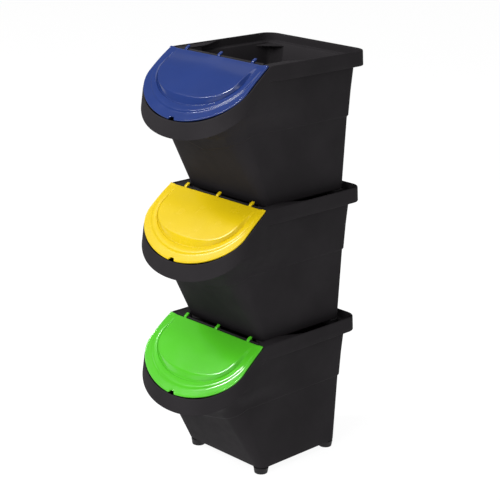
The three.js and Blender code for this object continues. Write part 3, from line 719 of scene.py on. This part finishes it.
# ---- materials ----
CLOUD_SCALE, SCUFF_SCALE, FLOW_SCALE = 7.0, 30.0, 16.0     # noise features per metre
GRAIN_STRENGTH = 0.35
GRAIN_HEIGHT, FLOW_HEIGHT = 0.03, 0.15     # millimetres
WORN_SPAN = (0.52, 0.6)                    # pointiness over which an edge comes to look rubbed
BLACK = (0.0186, 0.017, 0.0186)
class Nodes:
    """A short way to build one material's node tree."""

    def __init__(self, name):
        self.material = bpy.data.materials.new(name)
        self.material.use_nodes = True
        self.tree = self.material.node_tree
        self.shader = self.tree.nodes["Principled BSDF"]
        self.place = self.tree.nodes.new("ShaderNodeTexCoord").outputs["Object"]

    def link(self, source, target):
        self.tree.links.new(source, target)

    def noise(self, scale, detail=3.0, roughness=0.5):
        """Noise in object space."""
        node = self.tree.nodes.new("ShaderNodeTexNoise")
        node.inputs["Scale"].default_value = scale
        node.inputs["Detail"].default_value = detail
        node.inputs["Roughness"].default_value = roughness
        self.link(self.place, node.inputs["Vector"])
        return node.outputs["Fac"]

    def spread(self, source, low, high, start=0.3, end=0.7):
        """Maps a texture's middle range to between `low` and `high`."""
        node = self.tree.nodes.new("ShaderNodeMapRange")
        node.interpolation_type = "SMOOTHSTEP"
        node.inputs["From Min"].default_value = start
        node.inputs["From Max"].default_value = end
        node.inputs["To Min"].default_value = low
        node.inputs["To Max"].default_value = high
        self.link(source, node.inputs["Value"])
        return node.outputs["Result"]

    def blend(self, factor, first, second):
        """A colour between two colours, or between a colour socket and a colour."""
        node = self.tree.nodes.new("ShaderNodeMix")
        node.data_type = "RGBA"
        self.link(factor, node.inputs["Factor"])
        for socket, value in ((node.inputs["A"], first), (node.inputs["B"], second)):
            if isinstance(value, bpy.types.NodeSocket):
                self.link(value, socket)
            else:
                socket.default_value = (*value, 1.0)
        return node.outputs["Result"]

    def bump(self, height, strength, distance, below=None):
        node = self.tree.nodes.new("ShaderNodeBump")
        node.inputs["Strength"].default_value = strength
        node.inputs["Distance"].default_value = distance * MM
        self.link(height, node.inputs["Height"])
        if below:
            self.link(below, node.inputs["Normal"])
        return node.outputs["Normal"]

    def worn_edges(self):
        """About 1 on rounded outer edges and 0 elsewhere."""
        pointiness = self.tree.nodes.new("ShaderNodeNewGeometry").outputs["Pointiness"]
        return self.spread(pointiness, 0.0, 1.0, *WORN_SPAN)


def scaled(colour, factor):
    return tuple(value * factor for value in colour)


def plastic(name, colour, roughness, grain, specular=0.5, variation=0.12, flow=0.25,
            scuffing=0.07, rub=1.25):
    """Moulded plastic: faint cloudiness, a fine moulded grain, flow marks and lighter rubbed edges."""
    nodes = Nodes(name)
    inputs = nodes.shader.inputs
    cloud = nodes.spread(nodes.noise(CLOUD_SCALE, 4.0), 0.0, 1.0)
    base = nodes.blend(cloud, scaled(colour, 1 - variation), scaled(colour, 1 + variation))
    rubbed = nodes.blend(nodes.worn_edges(), base, scaled(colour, rub))
    nodes.link(rubbed, inputs["Base Color"])
    scuffs = nodes.noise(SCUFF_SCALE, 5.0, 0.6)
    nodes.link(nodes.spread(scuffs, roughness - scuffing, roughness + scuffing), inputs["Roughness"])
    waves = nodes.bump(nodes.noise(FLOW_SCALE, 2.0), flow, FLOW_HEIGHT)
    grained = nodes.bump(nodes.noise(grain, 2.0), GRAIN_STRENGTH, GRAIN_HEIGHT, waves)
    nodes.link(grained, inputs["Normal"])
    inputs["Specular IOR Level"].default_value = specular
    return nodes.material


def make_materials():
    glossy = {"grain": 260.0, "flow": 0.02, "scuffing": 0.02}
    looks = {
        "black_moulding": {"colour": BLACK, "roughness": 0.65, "grain": 900.0, "specular": 0.035,
                           "flow": 0.06, "scuffing": 0.04, "rub": 1.1},
        "hinge_rod": {"colour": scaled(BLACK, 0.8), "roughness": 0.55, "grain": 500.0, "specular": 0.08},
        "foot": {"colour": scaled(BLACK, 0.7), "roughness": 0.6, "grain": 1200.0, "specular": 0.2},
        "blue_flap": {"colour": (0.0088, 0.0245, 0.121), "roughness": 0.16, "specular": 0.4,
                      "variation": 0.05, **glossy},
        "yellow_flap": {"colour": (0.542, 0.387, 0.003), "roughness": 0.26, "specular": 0.3,
                        "variation": 0.03, **glossy},
        "green_flap": {"colour": (0.064, 0.405, 0.0146), "roughness": 0.15, "variation": 0.05, **glossy},
    }
    return {name: plastic(name, **look) for name, look in looks.items()}


# ---- assembly ----
def dress(thing, body, slot, materials, nodes):
    thing.data.materials.append(materials[slot])
    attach(thing, body)
    if nodes:
        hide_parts(*nodes)


def make_bin(name, materials):
    body, lid = f"{name}_bin", f"{name}_lid"
    tub, shelves = make_container(name)
    dress(tub, body, "black_moulding", materials, [f"{name}_container"])
    dress(shelves, body, "black_moulding", materials, [])
    sheet, hooks = make_flap(name)
    dress(sheet, lid, FLAP_SLOTS[name], materials, [f"{name}_flap"])
    dress(hooks, lid, FLAP_SLOTS[name], materials, [])
    dress(make_rod(name), body, "hinge_rod", materials, [f"{name}_hinge_rod"])
    for corner in ("front_left", "front_right", "rear_left", "rear_right"):
        dress(make_foot(name, corner), body, "foot", materials, [f"{name}_foot_{corner}"])


# ---- stage: floor, light and camera ----
FLOOR_REACH = 12.0                         # metres from the middle to each edge
FLOOR_GREY, FLOOR_ROUGHNESS, FLOOR_GLOW = 0.12, 0.9, 0.93
WHITE = (1.0, 1.0, 1.0, 1.0)
ROOM_STRENGTH = 0.25
LIGHT_TARGET = Vector((0.0, 0.0, 0.6))
LIGHTS = (   # name, place from the target in metres, size in metres, power in watts
    ("front", (0.3, -2.8, 2.2), (2.4, 1.8), 102.0),
    ("top", (-0.3, -0.5, 3.0), (2.0, 2.0), 26.0),
    ("fill", (2.6, -1.6, 1.0), (1.8, 1.8), 30.0),
    ("strip", (-2.6, -2.3, 3.6), (0.2, 1.8), 140.0),
    ("sheen", (-2.72, 1.68, 2.76), (1.8, 2.0), 2.8),
)
CAMERA_YAW, CAMERA_PITCH, CAMERA_ROLL = radians(45.37), radians(17.74), radians(0.959)
CAMERA_LENS = 109.6
CAMERA_SHIFT = (0.0014, 0.0004)
CAMERA_PLACE = (2267.5, -2138.3, 577.0)    # millimetres from the top bin's origin
CAMERA_CLIP = (0.05, 60.0)


def make_floor():
    """A wide pale floor, faintly glowing so that it stays white in the object's shadow."""
    mesh = bpy.data.meshes.new("floor")
    signs = ((-1, -1), (1, -1), (1, 1), (-1, 1))
    mesh.from_pydata([(x * FLOOR_REACH, y * FLOOR_REACH, 0) for x, y in signs], [], [(0, 1, 2, 3)])
    floor = bpy.data.objects.new("floor", mesh)
    bpy.context.scene.collection.objects.link(floor)
    nodes = Nodes("pale_floor")
    inputs = nodes.shader.inputs
    inputs["Base Color"].default_value = (FLOOR_GREY, FLOOR_GREY, FLOOR_GREY, 1.0)
    inputs["Roughness"].default_value = FLOOR_ROUGHNESS
    inputs["Emission Color"].default_value = WHITE
    inputs["Emission Strength"].default_value = FLOOR_GLOW
    mesh.materials.append(nodes.material)


def area_light(name, place, target, size, power):
    light = bpy.data.lights.new(name, "AREA")
    light.shape = "RECTANGLE"
    light.size, light.size_y = size
    light.energy = power
    made = bpy.data.objects.new(name, light)
    bpy.context.scene.collection.objects.link(made)
    made.location = place
    made.rotation_mode = "QUATERNION"
    made.rotation_quaternion = (target - place).to_track_quat("-Z", "Y")


def make_lights():
    """A dim room with five panels: a broad one in front, weaker ones above and on the right, a tall
    strip that draws lines along the flaps' crests, and a faint one behind for the sheen by the hinges."""
    world = bpy.data.worlds.new("studio")
    world.use_nodes = True
    background = world.node_tree.nodes["Background"].inputs
    background["Color"].default_value = WHITE
    background["Strength"].default_value = ROOM_STRENGTH
    bpy.context.scene.world = world
    for name, offset, size, power in LIGHTS:
        area_light(name, LIGHT_TARGET + Vector(offset), LIGHT_TARGET, size, power)


def make_view():
    """Colours shown as they are lit, without a film curve."""
    bpy.context.scene.view_settings.view_transform = "Standard"


def make_camera():
    """The camera looks at the stack's front right corner from a little above the top bin's rim."""
    level = cos(CAMERA_PITCH)
    forward = Vector((-sin(CAMERA_YAW) * level, cos(CAMERA_YAW) * level, -sin(CAMERA_PITCH)))
    right = Vector((cos(CAMERA_YAW), sin(CAMERA_YAW), 0.0))
    up = right.cross(forward)
    turned_right = right * cos(CAMERA_ROLL) + up * sin(CAMERA_ROLL)
    turned_up = up * cos(CAMERA_ROLL) - right * sin(CAMERA_ROLL)
    data = bpy.data.cameras.new("camera")
    data.lens = CAMERA_LENS
    data.shift_x, data.shift_y = CAMERA_SHIFT
    data.clip_start, data.clip_end = CAMERA_CLIP
    camera = bpy.data.objects.new("camera", data)
    bpy.context.scene.collection.objects.link(camera)
    axes = Matrix((turned_right, turned_up, -forward)).transposed().to_4x4()
    place = bin_origin("top") + Vector(CAMERA_PLACE) * MM
    camera.matrix_world = Matrix.Translation(place) @ axes
    bpy.context.scene.camera = camera


make_view()
make_camera()
make_floor()
make_lights()
MATERIALS = make_materials()
for bin_name in BINS:
    make_bin(bin_name, MATERIALS)
